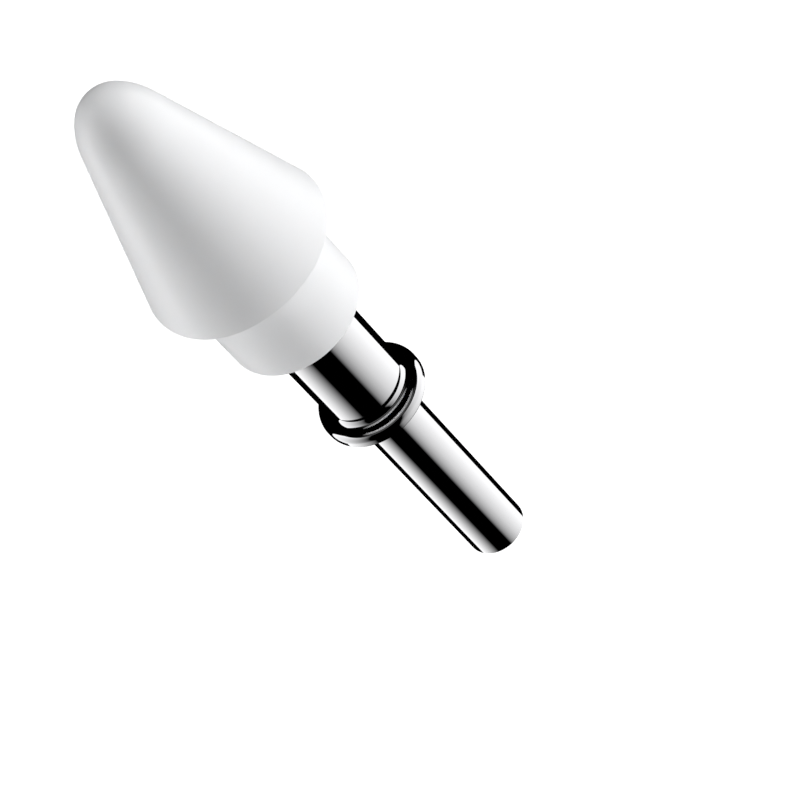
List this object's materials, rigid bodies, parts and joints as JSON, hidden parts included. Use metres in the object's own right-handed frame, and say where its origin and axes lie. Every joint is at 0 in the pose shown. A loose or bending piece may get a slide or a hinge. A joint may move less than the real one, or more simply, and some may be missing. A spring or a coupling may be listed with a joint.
{
  "type": "stylus pen nib",
  "caption": "Plug-in stylus pen nib: a white moulded cone with a round point and a collar, on a polished steel stem with a stop flange and a thin plug-in shaft.",
  "frame": {"origin": "on the nib's axis, in the plane of the stop flange's underside", "axes": "+Z along the nib's axis to the writing point; X and Y are any two directions across it"},
  "size_m": [0.0056, 0.0056, 0.0228],
  "materials": {
    "tip_plastic": "satin white moulding",
    "stem_steel": "mirror polished"
  },
  "bodies": {
    "root": {"tip": "tip_plastic", "stem": "stem_steel"}
  },
  "joints": []
}
